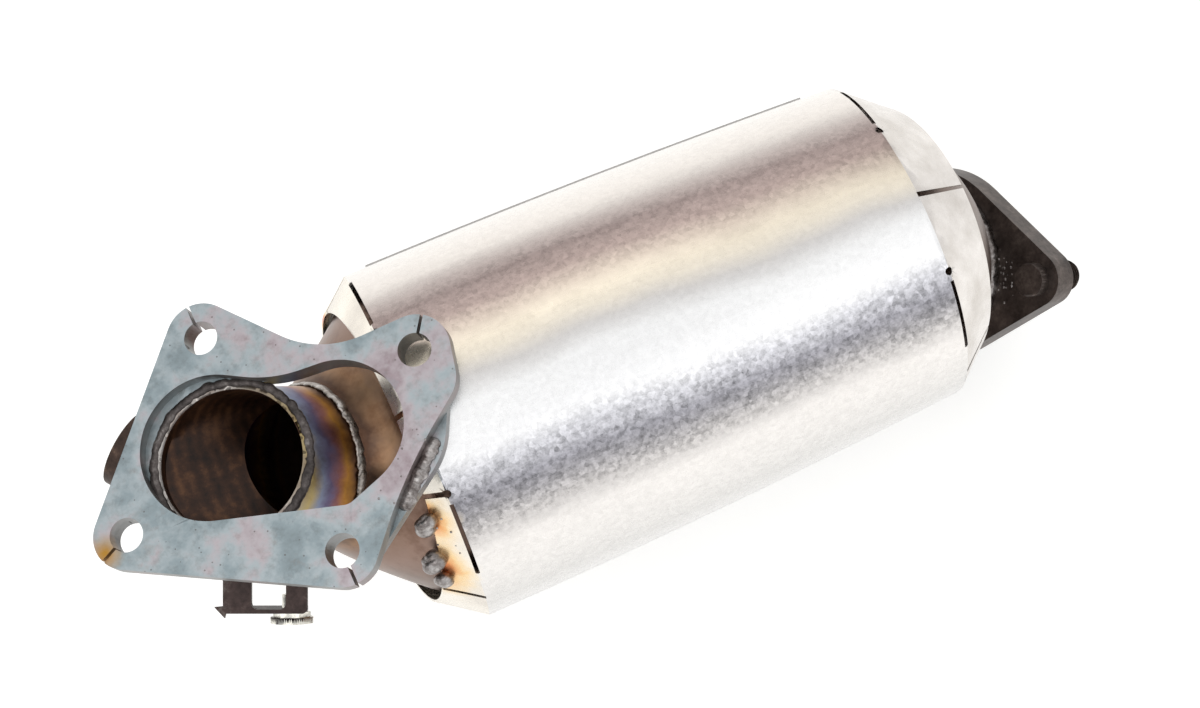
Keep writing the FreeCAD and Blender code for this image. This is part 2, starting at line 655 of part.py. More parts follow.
def tack_weld(name, clock, tabs_outside, cone_outside):
    """Round blob that ties a tab's free edge down to the cone."""
    ball = doc.addObject("Part::Sphere", name + "_ball")
    drive(ball, Radius="tack_r")
    lift = "tab_in_r*cos(%s)" % clock
    place(ball, "tab_in_x+%s*sin(tab_in_dip)" % lift, "-tab_in_r*sin(%s)" % clock,
          "tab_in_z+%s*cos(tab_in_dip)" % lift)
    return cut(name + "_seated", cut(name + "_on_tab", ball, tabs_outside), cone_outside)


def outlet_flange_weld():
    """Fillet weld between the outlet pipe and the flange's back face."""
    bead = on_outlet("Cone", "outlet_bead", "-fillet_weld", Radius1="pipe_r+0.2",
                     Radius2="pipe_r+fillet_weld", Height="fillet_weld")
    core = on_outlet("Cylinder", "outlet_bead_core", "-fillet_weld", Radius="pipe_r",
                     Height="fillet_weld")
    return cut("outlet_bead_ring", bead, core)


# ------------------------------------------------------------------- sensor bung
def bung_cylinder(name, radius, length):
    """A cylinder that runs in from the bung's mouth towards the elbow."""
    clock = math.radians(val("bung_clock"))
    axis = FreeCAD.Vector(math.sin(clock), -math.cos(clock), 0)
    return solid("Cylinder", name, {"x": "bung_x", "y": "bung_y", "z": "bung_z",
                                    "angle": 90, "axis": axis}, Radius=radius, Height=length)


def sensor_bung(elbow_outside):
    """Threaded boss welded to the elbow's wall, its foot shaped to the tube."""
    boss = bung_cylinder("bung_boss", "bung_r", "bung_length")
    bore = bung_cylinder("bung_bore_cut", "bung_bore", "bung_length+6")
    return cut("bung_drilled", cut("bung_seated", boss, elbow_outside), bore), bore


# ------------------------------------------------------------------------ bracket
FAR = "-bracket_reach"


def on_bracket(thing):
    """Puts a piece in the bracket's turned and tilted frame, the lug towards -y."""
    turn = (FreeCAD.Rotation(Z_AXIS, -val("bracket_clock"))
            * FreeCAD.Rotation(X_AXIS, val("bracket_tilt")))
    origin = FreeCAD.Vector(val("bracket_x"), 0, val("bracket_z"))
    thing.Placement = FreeCAD.Placement(origin, turn)
    thing.setExpression("Placement.Base.x", bound("bracket_x"))
    thing.setExpression("Placement.Base.z", bound("bracket_z"))
    return thing


def on_screw(kind, name, start, **formulas):
    """A primitive on the lug screw's axis, from start towards the elbow."""
    thing = doc.addObject("Part::" + kind, name)
    drive(thing, **formulas)
    return place(thing, "screw_x", start, "-lug_depth/2-bracket_sheet/2", -90, X_AXIS)


def mount_bracket(elbow_outside):
    """Strap with a window and a down-turned lug, welded to the elbow."""
    body = new_body("bracket_strap")
    half, corner = "(bracket_width/2-bracket_corner)", "bracket_corner"
    near, tip = "-tube_r/2", FAR + "+bracket_corner"
    plate = new_sketch(body, "strap_outline")
    belt(plate, ((half, tip, corner, 1), (half, near, corner, 1),
                 ("-" + half, near, corner, 1), ("-" + half, tip, corner, 1)))
    pad(body, plate, "bracket_sheet", down=True)
    window = new_sketch(body, "strap_window")
    right, left = "window_shift+window_width/2-2", "window_shift-window_width/2+2"
    low, high = FAR + "+lug_sheet+2", FAR + "+window_length"
    belt(window, ((right, low, "2", 1), (right, high, "2", 1),
                  (left, high, "2", 1), (left, low, "2", 1)))
    pierce(body, window)
    lug = new_sketch(body, "strap_lug")
    polygon(lug, (("-lug_width/2", FAR), ("lug_width/2", FAR),
                  ("lug_width/2", FAR + "+lug_sheet"), ("-lug_width/2", FAR + "+lug_sheet")))
    pad(body, lug, "lug_depth", down=True)
    barb = new_sketch(body, "strap_barb")
    polygon(barb, (("-bracket_width/2-2.6", FAR + "+2"), ("-bracket_width/2+0.6", FAR + "-1.4"),
                   ("-bracket_width/2+1.6", FAR + "+2.4")))
    pad(body, barb, "lug_sheet", down=True)
    drill = on_bracket(group("strap_drill", on_screw(
        "Cylinder", "strap_drill_rod", FAR + "-lug_sheet", Radius="screw_r+running_gap",
        Height="3*lug_sheet")))
    return cut("bracket_drilled", cut("bracket_seated", on_bracket(body), elbow_outside), drill)


def bracket_screw():
    """Flanged screw: a flat head outside the nut, its shank through the lug."""
    head = on_screw("Cylinder", "screw_head_disc", FAR + "-nut_height-screw_head",
                    Radius="screw_head_r", Height="screw_head")
    shank = on_screw("Cylinder", "screw_shank", FAR + "-nut_height-screw_head",
                     Radius="screw_r", Height="screw_head+nut_height+lug_sheet+4")
    return on_bracket(fuse("screw", [head, shank]))


def bracket_nut():
    """Thin weld nut against the outside of the lug."""
    block = on_screw("Prism", "nut_block", FAR + "-nut_height", Polygon=6,
                     Circumradius="nut_flat/2/cos(30)", Height="nut_height")
    bore = on_screw("Cylinder", "nut_bore", FAR + "-nut_height", Radius="screw_r+running_gap",
                    Height="nut_height")
    return on_bracket(cut("nut", block, bore))


doc.recompute()
nodes = {}


def keep(name, thing):
    thing.Label = name
    nodes[name] = thing


flange = inlet_flange()
backing = inlet_flange_backing()
elbow, elbow_outside = inlet_elbow()
bung, bung_bore = sensor_bung(elbow_outside)
keep("inlet_flange", flange)
keep("inlet_flange_backing", backing)
keep("inlet_elbow", cut("elbow_drilled", elbow, bung_bore))
keep("sensor_bung", bung)
keep("mount_bracket", mount_bracket(elbow_outside))
keep("bracket_screw", bracket_screw())
keep("bracket_nut", bracket_nut())
cone, cone_outside = inlet_cone()
keep("inlet_cone", cone)
shell, mat, brick = can_parts()
keep("can_shell", shell)
keep("support_mat", mat)
keep("catalyst_brick", brick)
boot = outlet_cone()
keep("outlet_cone", boot)
keep("outlet_pipe", outlet_pipe())
keep("outlet_flange", outlet_flange())
keep("outlet_stud_upper", outlet_stud("stud_one", "-"))
keep("outlet_stud_lower", outlet_stud("stud_two", ""))
shield, tabs_outside = heat_shield()
keep("heat_shield", shield)
for number, clock in enumerate(("tack_one", "tack_two", "tack_three"), start=1):
    keep("shield_tack_weld_%d" % number,
         tack_weld("tack_%d" % number, clock, tabs_outside, cone_outside))
keep("insulation_blanket", insulation())
keep("inlet_shell_weld", fillet_ring("inlet_shell_weld", "can_start+collar", "2",
                                     "can_r+can_wall", "can_r+0.2"))
keep("outlet_shell_weld", fillet_ring("outlet_shell_weld", CAN_END + "-collar-2", "2",
                                      "can_r+0.2", "can_r+can_wall"))
keep("elbow_ring_weld", elbow_ring_weld(elbow_outside, cone_outside))
keep("elbow_rim_weld", elbow_rim_weld(flange))
keep("flange_edge_weld", flange_edge_weld(flange, backing))
keep("outlet_flange_weld", outlet_flange_weld())
doc.recompute()

faults = [thing.Name for thing in doc.Objects
          if "Invalid" in thing.State or "Error" in thing.State]
if faults:
    raise RuntimeError("failed: " + ", ".join(faults))
os.makedirs("parts", exist_ok=True)
for name, thing in nodes.items():
    shape = thing.Shape
    if shape.isNull() or not shape.isValid():
        raise RuntimeError("bad shape: " + name)
    print("%-24s %9.0f mm3  %d solid" % (name, shape.Volume, len(shape.Solids)))
    shape.exportStep("parts/%s.step" % name)
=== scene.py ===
import json
import math
import random

import bpy
from mathutils import Matrix, Vector

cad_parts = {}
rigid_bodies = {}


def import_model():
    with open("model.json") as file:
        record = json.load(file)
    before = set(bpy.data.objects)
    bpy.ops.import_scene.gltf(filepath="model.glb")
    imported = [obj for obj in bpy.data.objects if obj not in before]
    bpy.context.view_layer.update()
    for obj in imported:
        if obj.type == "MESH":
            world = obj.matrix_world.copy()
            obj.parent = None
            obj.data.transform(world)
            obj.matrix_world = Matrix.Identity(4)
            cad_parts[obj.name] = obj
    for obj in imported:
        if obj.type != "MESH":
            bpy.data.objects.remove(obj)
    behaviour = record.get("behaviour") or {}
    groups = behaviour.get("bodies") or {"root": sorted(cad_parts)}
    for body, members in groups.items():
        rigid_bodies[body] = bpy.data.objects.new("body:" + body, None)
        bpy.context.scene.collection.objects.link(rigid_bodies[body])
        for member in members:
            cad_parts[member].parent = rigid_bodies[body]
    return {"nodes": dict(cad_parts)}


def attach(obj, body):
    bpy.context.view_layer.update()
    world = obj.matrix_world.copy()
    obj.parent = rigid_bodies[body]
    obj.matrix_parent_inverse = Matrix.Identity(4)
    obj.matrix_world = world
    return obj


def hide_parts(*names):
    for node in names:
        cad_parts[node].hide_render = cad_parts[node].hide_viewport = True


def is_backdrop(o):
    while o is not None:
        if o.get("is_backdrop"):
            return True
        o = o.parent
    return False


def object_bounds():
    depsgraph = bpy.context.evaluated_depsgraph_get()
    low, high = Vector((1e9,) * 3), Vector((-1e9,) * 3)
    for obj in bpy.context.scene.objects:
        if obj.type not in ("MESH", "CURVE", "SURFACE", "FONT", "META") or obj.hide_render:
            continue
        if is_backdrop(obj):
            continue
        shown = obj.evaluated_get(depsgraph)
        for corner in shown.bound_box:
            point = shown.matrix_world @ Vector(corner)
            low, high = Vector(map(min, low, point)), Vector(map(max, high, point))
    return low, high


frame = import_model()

bl_info = {
    "name": "Catalytic converter finish",
    "version": (1, 0, 0),
    "blender": (4, 5, 0),
    "location": "View3D > Sidebar > Converter",
    "description": "Dresses the converter's solids and builds its welds, threads and stage",
    "category": "Object",
}

MM = 0.001
ROOT = "root"
LAID_WELD = "steel_weld_as_laid"
CAN_AXIS_Z = -61.5 * MM
SHIELD_X = (42.5 * MM, 214.5 * MM)  # where the sheet's two folded ends start
FLANGE_TILT = math.radians(11)
OUTLET_DIP = math.radians(39)
ELBOW_DIP = math.radians(39)
TUBE_R = 24 * MM
TUBE_WALL = 1.7 * MM
RIM = (-14, 2, 5.3)                 # elbow's rim for on_flange: its middle and its depth
BEND = (-14, 2, 9)                  # the same for the place where the elbow starts to bend
JOINT = Vector((9.5 * MM, 0, -34 * MM))
OUTLET = Vector((237.5 * MM, 0, -106 * MM))
FLANGE_TURN = Matrix.Rotation(-FLANGE_TILT, 4, "Y")
JOINT_TURN = Matrix.Rotation(math.radians(90) + ELBOW_DIP, 4, "Y")
OUTLET_TURN = Matrix.Rotation(math.radians(90) + OUTLET_DIP, 4, "Y")
# middles of the three tacks between shield and cone
TACKS = ((33.4 * MM, -36.2 * MM, -22.9 * MM), (30.9 * MM, -44.8 * MM, -34.9 * MM),
         (32.4 * MM, -48.4 * MM, -43.8 * MM))
# every place where welding heat has coloured the sheet
HEATED = TACKS + ((34 * MM, -46 * MM, -39 * MM), (30 * MM, 50 * MM, -52 * MM))
EAR_REACH = 43.6 * MM               # from the outlet's middle to each stud
EAR_CLOCK = math.radians(38.6)      # the studs' turn about the outlet's axis
THREAD_START = 10.6 * MM            # along the stud from the outlet's middle
OUTLET_BEAD_R = 27 * MM
OUTLET_BEAD_BACK = 1.6 * MM         # how far the outlet's bead lies on the pipe's side
EDGE_RUN = (28.6, -34.6)            # on the flange in mm, where the edge bead starts
EDGE_STEP = 2.05                    # mm between its drops
EDGE_DEPTH = 5.2                    # mm below the gasket face
EDGE_CLOCK = 40                     # degrees, the way it runs
THROW = 0.05                        # how far before a surface spatter starts to fall
MIDDLE_X = 0.1                      # about half way along the converter
FLOOR_GAP = 0.2 * MM                # keeps the floor clear of the lowest point


def on_flange(x, y, depth=0.0):
    """A point given on the gasket face in mm, and a depth in mm below it."""
    return FLANGE_TURN @ Vector((x * MM, y * MM, -depth * MM))


def linear(code):
    """An sRGB hex colour as the linear colour that a shader takes."""
    parts = [int(code[i:i + 2], 16) / 255 for i in (1, 3, 5)]
    return tuple(p / 12.92 if p <= 0.04045 else ((p + 0.055) / 1.055) ** 2.4
                 for p in parts) + (1.0,)


def node(tree, kind, inputs=None, stops=None, **settings):
    """Adds one node: settings go on it, inputs on its sockets as values or links."""
    made = tree.nodes.new(kind)
    for key, value in settings.items():
        setattr(made, key, value)
    for key, value in (inputs or {}).items():
        if isinstance(value, bpy.types.NodeSocket):
            tree.links.new(value, made.inputs[key])
        else:
            made.inputs[key].default_value = value
    if stops:
        # places first and colours after, in case moving a stop changes their order
        band = made.color_ramp.elements
        while len(band) < len(stops):
            band.new(0.5)
        for element, stop in zip(band, stops):
            element.position = stop[0]
        for element, colour in zip(band, [stop[1] for stop in stops]):
            element.color = linear(colour) if isinstance(colour, str) else (colour,) * 3 + (1,)
    return made


def ramp(tree, value, stops):
    """Turns a value into a colour by stops, each a place and a hex colour or a grey."""
    return node(tree, "ShaderNodeValToRGB", {0: value}, stops=stops).outputs[0]


def new_material(name, metallic, roughness):
    """An empty finish: its tree, its shader and its object coordinates."""
    made = bpy.data.materials.new(name)
    made.use_nodes = True
    tree = made.node_tree
    shader = tree.nodes["Principled BSDF"]
    shader.inputs["Metallic"].default_value = metallic
    shader.inputs["Roughness"].default_value = roughness
    coords = node(tree, "ShaderNodeTexCoord").outputs["Object"]
    return made, tree, shader, coords


def mottle(tree, coords, size_mm, detail=4.0, roughness=0.6):
    """Cloudy noise whose patches are about size_mm across."""
    return node(tree, "ShaderNodeTexNoise", {"Vector": coords, "Scale": 1000 / size_mm,
                                             "Detail": detail, "Roughness": roughness}
                ).outputs["Fac"]


def mixed(tree, factor, one, two, mode="MIX"):
    """Blends two colours, each a socket or a linear colour."""
    made = node(tree, "ShaderNodeMix", {0: factor, 6: one, 7: two}, data_type="RGBA",
                blend_type=mode)
    return made.outputs[2]


def math_node(tree, operation, *values, clamp=False):
    """One sum on values, each a number or a socket."""
    return node(tree, "ShaderNodeMath", dict(enumerate(values)), operation=operation,
                use_clamp=clamp).outputs[0]


def near_point(tree, coords, point, reach_mm):
    """1 at a point, falling to 0 at reach_mm from it, with a ragged edge."""
    ragged = math_node(tree, "MULTIPLY", mottle(tree, coords, 5), reach_mm * MM * 0.5)
    gap = node(tree, "ShaderNodeVectorMath", {0: coords, 1: point},
               operation="DISTANCE").outputs["Value"]
    gap = math_node(tree, "ADD", gap, ragged)
    return math_node(tree, "SUBTRACT", 1.0, math_node(tree, "DIVIDE", gap, reach_mm * MM * 1.2),
                     clamp=True)


def bumped(tree, shader, height, strength, distance_mm):
    """Gives a finish fine relief from a height socket."""
    made = node(tree, "ShaderNodeBump", {"Strength": strength, "Distance": distance_mm * MM,
                                         "Height": height})
    tree.links.new(made.outputs["Normal"], shader.inputs["Normal"])


# ------------------------------------------------------------------- materials
def aluminised_sheet(settings):
    """Hot-dip aluminised steel, rolled: bright, with spangle and fine scratches, toned in stripes
    round the can's axis that are painted reflections, one of them a painted highlight.
    """
    made, tree, shader, coords = new_material("aluminised_steel_rolled", 1.0, 0.3)
    axes = node(tree, "ShaderNodeSeparateXYZ", {0: coords}).outputs
    up = math_node(tree, "SUBTRACT", axes["Z"], CAN_AXIS_Z)
    out = math_node(tree, "MULTIPLY", axes["Y"], -1.0)
    clock = math_node(tree, "ARCTAN2", out, up)
    wander = math_node(tree, "MULTIPLY_ADD", mottle(tree, coords, 70, 2.0), 0.16, -0.08)
    lean = math_node(tree, "MULTIPLY_ADD", axes["X"], -0.35, 0.045)
    clock = math_node(tree, "ADD", math_node(tree, "ADD", clock, wander), lean)
    turn = math_node(tree, "MULTIPLY_ADD", clock, 0.5 / math.pi, 0.5)
    # painted reflection: tone by turn round the can's axis stands for the room mirrored in the
    # sheet, light and dark stripes with a white painted highlight from 13 to 27 degrees
    reflection_tones = ((-180, "#D0CDCB"), (-95, "#D9D6D3"), (-60, "#EAE6E2"), (-36, "#E2DBD5"),
             (-29, "#C2B5B0"), (-24, "#9E8E8A"), (-16, "#A2918B"), (-10, "#C6B8AB"),
             (-4, "#F0E5D2"), (0, "#F1E8D8"), (6, "#D9D6D4"), (13, "#FAFAFA"),
             (27, "#F8F8F9"), (32, "#D6D6DB"), (39, "#9F9EA5"), (43, "#A4A2A6"),
             (50, "#D3CFCD"), (57, "#E9E5E2"), (84, "#D9D7D5"), (94, "#E2E0DF"),
             (130, "#C6C4C4"), (180, "#D0CDCB"))
    tone = ramp(tree, turn, [((c / 180 + 1) / 2, colour) for c, colour in reflection_tones])
    # spangle: crystal patches about 1.6 mm across, drawn coarse enough to show
    spangle = node(tree, "ShaderNodeTexVoronoi", {"Vector": coords, "Scale": 1000 / 1.6,
                                                  "Randomness": 1.0}).outputs["Color"]
    spangle = node(tree, "ShaderNodeSeparateColor", {0: spangle}).outputs[0]
    grit = mottle(tree, coords, 1.7, 5.0, 0.75)
    # rolling scratches: 0.4 mm apart, some 25 mm long, along the sheet
    stretch = node(tree, "ShaderNodeMapping", {"Vector": coords,
                                               "Scale": (40.0, 2500.0, 2500.0)}).outputs[0]
    scratch = node(tree, "ShaderNodeTexNoise", {"Vector": stretch, "Scale": 1.0,
                                                "Detail": 2.0}).outputs["Fac"]
    # the grain shows strongly only in two of the painted reflection stripes, as part of the
    # painted reflection
    reflection_grain_stops = ((0.0, 0.12), (0.415, 0.12), (0.43, 0.42), (0.465, 0.42), (0.48, 0.1),
                     (0.57, 0.1), (0.6, 0.95), (0.63, 0.9), (0.65, 0.15), (1.0, 0.12))
    reflection_grain = ramp(tree, turn, reflection_grain_stops)
    speck = math_node(tree, "ADD", math_node(tree, "MULTIPLY_ADD", grit, 1.6, -0.8),
                      math_node(tree, "MULTIPLY_ADD", spangle, 0.4, -0.2))
    speck = math_node(tree, "ADD", speck, math_node(tree, "MULTIPLY_ADD", scratch, 0.3, -0.15))
    shade = math_node(tree, "MULTIPLY_ADD", math_node(tree, "MULTIPLY", speck, reflection_grain),
                      1.3, 1.0)
    tone = mixed(tree, 1.0, tone, shade, "MULTIPLY")
    # folded ends are paler and warmer than the roll
    inlet_fold = math_node(tree, "LESS_THAN", axes["X"], SHIELD_X[0] - 0.2 * MM)
    outlet_fold = math_node(tree, "GREATER_THAN", axes["X"], SHIELD_X[1] + 0.2 * MM)
    tab_tone = ramp(tree, mottle(tree, coords, 18),
                    ((0.3, "#D8D1C8"), (0.55, "#ECE5DA"), (0.75, "#F4EFE6")))
    tone = mixed(tree, inlet_fold, tone, tab_tone)
    far_tone = ramp(tree, mottle(tree, coords, 14),
                    ((0.3, "#C9C3BD"), (0.6, "#E3DEDA"), (0.8, "#F0ECE8")))
    tone = mixed(tree, outlet_fold, tone, far_tone)
    # welding heat leaves straw, orange and brown rings
    for spot in HEATED:
        heat = near_point(tree, coords, spot, 14)
        ring = ramp(tree, heat, ((0.0, "#F1E6D2"), (0.35, "#EBCB98"), (0.6, "#DF9A63"),
                                 (0.78, "#C8683F"), (0.92, "#6E4A38")))
        tone = mixed(tree, math_node(tree, "MULTIPLY", heat, 2.2, clamp=True), tone, ring)
    tree.links.new(tone, shader.inputs["Base Color"])
    rough = math_node(tree, "MULTIPLY_ADD", grit, 0.16, settings.sheet_roughness)
    tree.links.new(rough, shader.inputs["Roughness"])
    height = math_node(tree, "ADD", math_node(tree, "MULTIPLY", grit, 0.05),
                       math_node(tree, "MULTIPLY", mottle(tree, coords, 26, 1.0), 1.0))
    height = math_node(tree, "ADD", height, math_node(tree, "MULTIPLY", scratch, 0.03))
    bumped(tree, shader, height, 0.5, 0.45)
    return made


def zinc_plate(settings):
    """Zinc-plated, chromated steel plate: blue-grey with rosy patches and dark specks."""
    made, tree, shader, coords = new_material("zinc_plated_steel_plate", 0.85, 0.4)
    cloud = mottle(tree, coords, 24, 5.0, 0.62)
    tone = ramp(tree, cloud, ((0.28, "#7F8A8D"), (0.42, "#98A5AA"), (0.5, "#AFB9BD"),
                              (0.58, "#BDB5B9"), (0.68, "#AA9BA0"), (0.8, "#98A3A9")))
    fine = mottle(tree, coords, 3.2, 6.0, 0.7)
    streaks = ramp(tree, fine, ((0.25, "#C7C2BE"), (0.5, "#F2F2F2"), (0.8, "#FFFFFF")))
    tone = mixed(tree, 0.75, tone, streaks, "MULTIPLY")
    rust = node(tree, "ShaderNodeMapping", {"Vector": coords, "Location": (0.3, 0.1, 0)})
    rust = mottle(tree, rust.outputs[0], 11, 5.0, 0.7)
    rust = ramp(tree, rust, ((0.6, 0.0), (0.78, 0.5)))
    tone = mixed(tree, rust, tone, linear("#8C7A70"))
    speck = node(tree, "ShaderNodeTexVoronoi", {"Vector": coords, "Scale": 1000 / 3.4}
                 ).outputs["Distance"]
    speck = math_node(tree, "LESS_THAN", speck, 0.085)
    tone = mixed(tree, math_node(tree, "MULTIPLY", speck, 0.6), tone, linear("#5B5350"))
    # flame-cut sides and hole walls are painted browner and darker than the plated faces, partly
    # their own colour and partly painted shade on walls that lie in the openings' shadow
    facing = node(tree, "ShaderNodeVectorMath", {
        0: node(tree, "ShaderNodeNewGeometry").outputs["True Normal"],
        1: tuple(FLANGE_TURN @ Vector((0, 0, 1)))}, operation="DOT_PRODUCT").outputs["Value"]
    side = math_node(tree, "LESS_THAN", math_node(tree, "ABSOLUTE", facing), 0.7)
    tone = mixed(tree, math_node(tree, "MULTIPLY", side, 0.55), tone, linear("#6E6058"))
    # a burnt, golden corner beside one saw slit
    burnt = near_point(tree, coords, tuple(on_flange(-59, -8, 1)), 7)
    tone = mixed(tree, math_node(tree, "MULTIPLY", burnt, 1.6, clamp=True), tone,
                 linear("#B08338"))
    tree.links.new(tone, shader.inputs["Base Color"])
    tree.links.new(math_node(tree, "MULTIPLY_ADD", fine, 0.25, settings.plate_roughness),
                   shader.inputs["Roughness"])
    bumped(tree, shader, math_node(tree, "ADD", fine, math_node(tree, "MULTIPLY", cloud, 2.0)),
           0.35, 0.12)
    return made


def tinted_tube():
    """Stainless tube and pressings, welded: heat runs from gold through purple to brown."""
    made, tree, shader, coords = new_material("stainless_heat_tinted", 0.95, 0.34)
    from_joint = node(tree, "ShaderNodeVectorMath", {0: coords, 1: tuple(JOINT)},
                      operation="SUBTRACT").outputs[0]
    along = (math.cos(ELBOW_DIP), 0.0, -math.sin(ELBOW_DIP))
    gap = node(tree, "ShaderNodeVectorMath", {0: from_joint, 1: along},
               operation="DOT_PRODUCT").outputs["Value"]
    wavy = math_node(tree, "MULTIPLY_ADD", mottle(tree, coords, 9, 3.0), 7 * MM, -3.5 * MM)
    start, span = -30, 80  # mm from the joint, along the elbow's lower end
    place = math_node(tree, "MULTIPLY_ADD", math_node(tree, "ADD", gap, wavy),
                      1 / (span * MM), -start / span)
    runs = ((-30, "#BDBAB8"), (-23, "#A39A8A"), (-18, "#B0A070"), (-14, "#7D87A0"),
            (-11, "#66607F"), (-8, "#8A5F5C"), (-5, "#B0803F"), (-2, "#6A4E3C"),
            (2, "#5C4A40"), (6, "#9A7C62"), (10, "#8B7467"), (18, "#967F74"),
            (30, "#86746B"), (45, "#76665E"))
    tone = ramp(tree, place, [((mm - start) / span, colour) for mm, colour in runs])
    cloud = mottle(tree, coords, 13, 5.0, 0.65)
    veil = ramp(tree, cloud, ((0.3, "#A58C7C"), (0.5, "#E9E2DC"), (0.75, "#FFFFFF")))
    tone = mixed(tree, 0.8, tone, veil, "MULTIPLY")
    tree.links.new(tone, shader.inputs["Base Color"])
    tree.links.new(math_node(tree, "MULTIPLY_ADD", cloud, 0.35, 0.18),
                   shader.inputs["Roughness"])
    bumped(tree, shader, mottle(tree, coords, 2.0, 4.0), 0.2, 0.08)
    return made


def weld_metal(name, dark, mid, light):
    """As-laid steel weld: bright crests, dull blue-brown hollows."""
    made, tree, shader, coords = new_material(name, 0.95, 0.3)
    cloud = mottle(tree, coords, 4.0, 5.0, 0.7)
    tone = ramp(tree, cloud, ((0.33, dark), (0.5, mid), (0.72, light)))
    tree.links.new(tone, shader.inputs["Base Color"])
    tree.links.new(math_node(tree, "MULTIPLY_ADD", cloud, 0.4, 0.12),
                   shader.inputs["Roughness"])
    bumped(tree, shader, mottle(tree, coords, 1.2, 3.0), 0.4, 0.1)
    return made


def scaled_steel(name, dark, mid, light, roughness):
    """Bare steel that has been red hot: matt brown-black scale, rubbed lighter in patches."""
    made, tree, shader, coords = new_material(name, 0.55, roughness)
    cloud = mottle(tree, coords, 8.0, 6.0, 0.68)
    tone = ramp(tree, cloud, ((0.32, dark), (0.55, mid), (0.8, light)))
    pits = mottle(tree, coords, 1.3, 4.0)
    shade = ramp(tree, pits, ((0.3, "#8F8884"), (0.6, "#FFFFFF")))
    tone = mixed(tree, 0.5, tone, shade, "MULTIPLY")
    tree.links.new(tone, shader.inputs["Base Color"])
    bumped(tree, shader, pits, 0.45, 0.12)
    return made


def dark_brown_lining():
    """Inside of a hot exhaust tube: brown-black, with faint forming rings."""
    made, tree, shader, coords = new_material("tube_inside_dark_brown", 0.5, 0.42)
    from_joint = node(tree, "ShaderNodeVectorMath", {0: coords, 1: tuple(JOINT)},
                      operation="SUBTRACT").outputs[0]
    along, pitch = (0.64, 0.0, -0.77), 3.6 * MM  # of the forming rings
    gap = node(tree, "ShaderNodeVectorMath", {0: from_joint, 1: along},
               operation="DOT_PRODUCT").outputs["Value"]
    rings = math_node(tree, "SINE", math_node(tree, "MULTIPLY", gap, 2 * math.pi / pitch))
    cloud = mottle(tree, coords, 9.0, 5.0, 0.7)
    value = math_node(tree, "ADD", cloud, math_node(tree, "MULTIPLY", rings, 0.05))
    tone = ramp(tree, value, ((0.3, "#1D120D"), (0.5, "#3A2418"), (0.66, "#5A3C27"),
                              (0.82, "#7B5A3E")))
    tree.links.new(tone, shader.inputs["Base Color"])
    bumped(tree, shader, value, 0.3, 0.3)
    return made


def bright_zinc():
    """Bright zinc plate on a turned fastener: pale, slightly yellow, softly reflecting."""
    made, tree, shader, coords = new_material("bright_zinc_fastener", 1.0, 0.22)
    tone = ramp(tree, mottle(tree, coords, 3.0),
                ((0.3, "#8C8B88"), (0.55, "#D6D3C9"), (0.75, "#F2F1EE")))
    tree.links.new(tone, shader.inputs["Base Color"])
    bumped(tree, shader, mottle(tree, coords, 0.8), 0.15, 0.05)
    return made


def mineral_fibre():
    """Needled mineral fibre mat: pale, matt, with short crossing strands."""
    made, tree, shader, coords = new_material("mineral_fibre_needled", 0.0, 0.95)
    strands = node(tree, "ShaderNodeMapping", {"Vector": coords,
                                               "Scale": (300.0, 1600.0, 1600.0)}).outputs[0]
    fibre = node(tree, "ShaderNodeTexNoise", {"Vector": strands, "Scale": 1.0,
                                              "Detail": 6.0, "Distortion": 1.5}).outputs["Fac"]
    tone = ramp(tree, fibre, ((0.3, "#B9B09C"), (0.6, "#E4DECF")))
    tree.links.new(tone, shader.inputs["Base Color"])
    bumped(tree, shader, fibre, 0.8, 0.4)
    return made


def honeycomb():
    """Extruded cordierite with washcoat: buff, with square cells 1.3 mm apart end on, the cells'
    openings dark with painted shade.
    """
    made, tree, shader, coords = new_material("cordierite_washcoated", 0.0, 0.85)
    axes = node(tree, "ShaderNodeSeparateXYZ", {0: coords}).outputs
    cell, wall_share = 1.3 * MM, 0.25
    walls = None
    for axis in ("Y", "Z"):
        wave = math_node(tree, "FRACT", math_node(tree, "MULTIPLY", axes[axis], 1 / cell))
        wall = math_node(tree, "LESS_THAN", wave, wall_share)
        walls = wall if walls is None else math_node(tree, "MAXIMUM", walls, wall)
    # the open cells are painted dark brown: painted shade down the channels, which the solid brick
    # doesn't have
    tree.links.new(mixed(tree, walls, linear("#4A4032"), linear("#C7B594")),
                   shader.inputs["Base Color"])
    bumped(tree, shader, walls, 0.6, 0.5)
    return made


# ---------------------------------------------------------------- making pieces
def settle(piece, name, material, slot, *nodes):
    """Names, paints and ties a finished piece, and hides the nodes it stands for."""
    piece.name = piece.data.name = name
    piece.data.materials.clear()
    piece.data.materials.append(material)
    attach(piece, ROOT)
    if nodes:
        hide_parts(*nodes)
    return piece


def only(*pieces):
    """Selects these objects and nothing else."""
    if bpy.context.mode != "OBJECT":
        bpy.ops.object.mode_set(mode="OBJECT")
    bpy.ops.object.select_all(action="DESELECT")
    for piece in pieces:
        piece.select_set(True)
    bpy.context.view_layer.objects.active = pieces[0]


